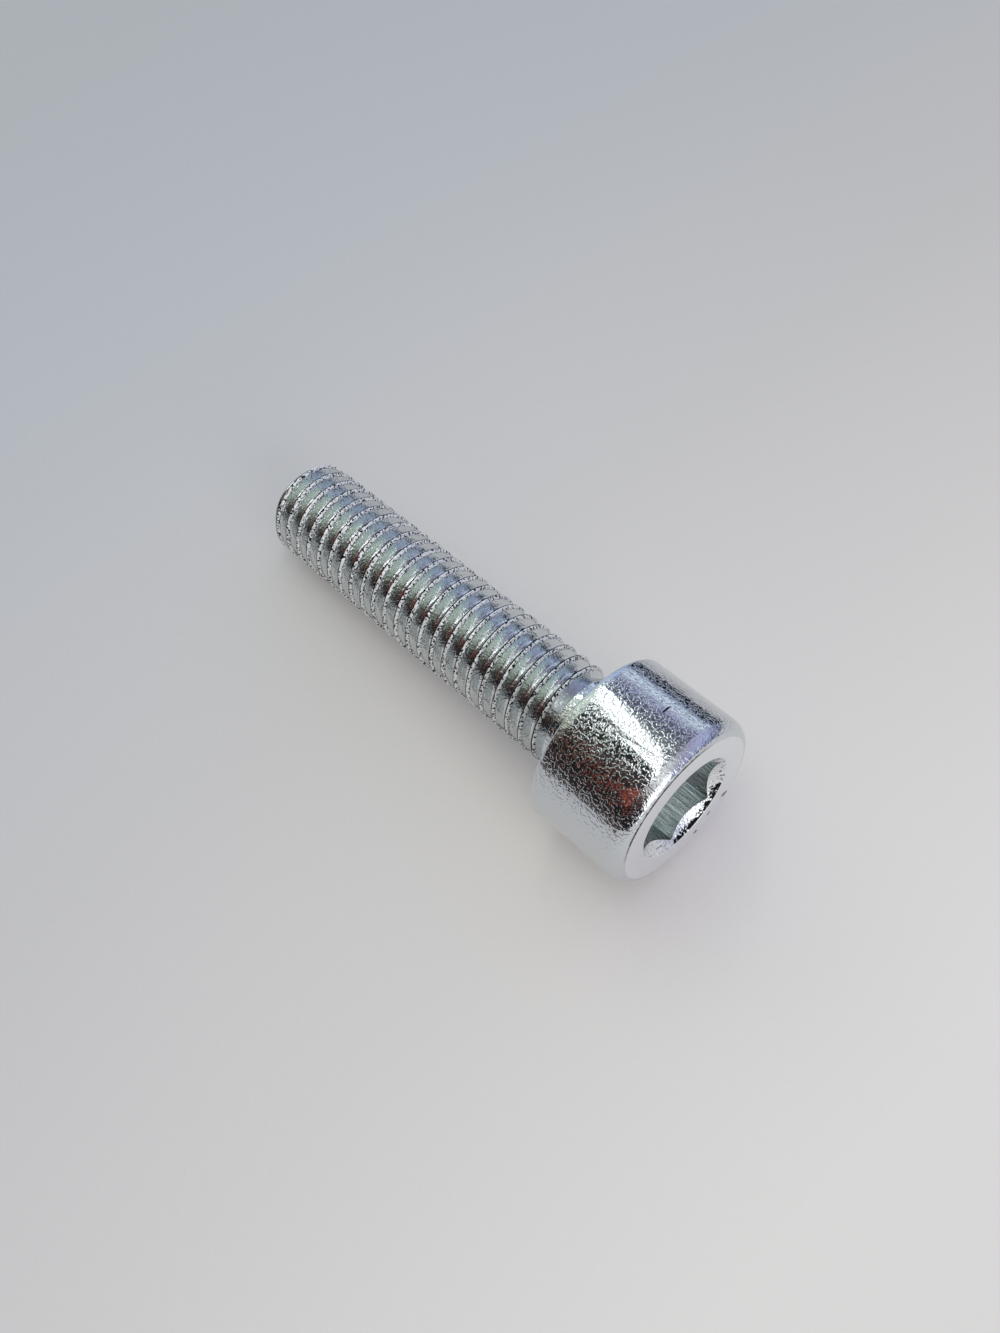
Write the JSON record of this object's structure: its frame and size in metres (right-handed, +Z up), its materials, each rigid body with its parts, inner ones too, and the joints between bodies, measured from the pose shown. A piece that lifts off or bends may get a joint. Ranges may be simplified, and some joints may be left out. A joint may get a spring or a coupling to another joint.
{
  "type": "hex socket cap screw",
  "caption": "Fully threaded cap screw with a plain cylindrical head, a countersunk hex socket and a chamfered tip, lying at rest.",
  "frame": {"origin": "on the resting plane, under the middle of the lying screw's bounding box", "axes": "+X runs from the thread's tip towards the head, level, under the screw's axis, which rises 4.9 degrees towards the head; +Z is up"},
  "size_m": [0.0314, 0.01, 0.0104],
  "materials": {
    "zinc_plated_steel": "bright zinc plate, finely grained"
  },
  "bodies": {
    "root": {"cap_screw": "zinc_plated_steel"}
  },
  "joints": []
}
